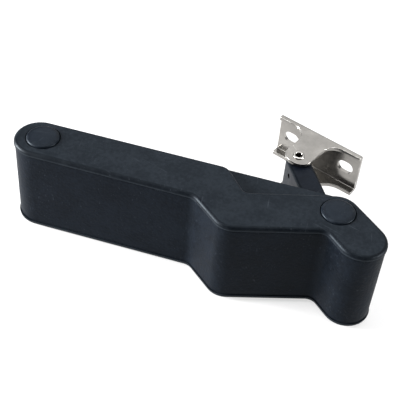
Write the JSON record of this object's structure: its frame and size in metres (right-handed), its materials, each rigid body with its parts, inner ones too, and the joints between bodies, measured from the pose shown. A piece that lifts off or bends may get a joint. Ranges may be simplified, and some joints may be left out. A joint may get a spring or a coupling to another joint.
{
  "type": "over-centre draw latch",
  "caption": "Over-centre draw latch: bent moulded handle with finger tip and catch pin, swinging on a link from a slotted steel bracket.",
  "frame": {"origin": "centre of the bracket's back face, the face that lies against the panel", "axes": "+Z along the pin axes, +X from the catch pin towards the pivot pin and finger tip, +Y towards the panel behind the bracket"},
  "size_m": [0.1393, 0.0774, 0.039],
  "materials": {
    "handle_plastic": "fine matte texture, charcoal",
    "cap_plastic": "satin charcoal",
    "link_plastic": "satin black",
    "stainless": "rolled and tumbled sheet, warm grey",
    "pin_steel": "ground steel",
    "bush_bronze": "plain bronze"
  },
  "bodies": {
    "bracket": {"mounting_bracket": "stainless", "bracket_rivet": "stainless"},
    "link": {"link_arm": "link_plastic", "link_bush": "bush_bronze"},
    "handle": {"handle_shell": "handle_plastic", "upper_side_cover": "handle_plastic", "lower_side_cover": "handle_plastic", "catch_pin": "pin_steel", "pivot_pin": "pin_steel", "catch_pin_cap_upper": "cap_plastic", "catch_pin_cap_lower": "cap_plastic", "pivot_pin_cap_upper": "cap_plastic", "pivot_pin_cap_lower": "cap_plastic"},
    "roller": {"catch_roller": "pin_steel"}
  },
  "joints": [
    {"name": "link_swing", "type": "hinge", "parent": "bracket", "child": "link", "pos_m": [-0.00629, -0.01622, 0], "axis": [0, 0, -1], "range_deg": [-37, 16]},
    {"name": "handle_swing", "type": "hinge", "parent": "link", "child": "handle", "pos_m": [0.01401, -0.05047, 0], "axis": [0, 0, 1], "range_deg": [-58, 30]},
    {"name": "roller_spin", "type": "hinge", "parent": "handle", "child": "roller", "pos_m": [-0.09569, -0.05047, 0], "axis": [0, 0, 1], "continuous": true}
  ]
}
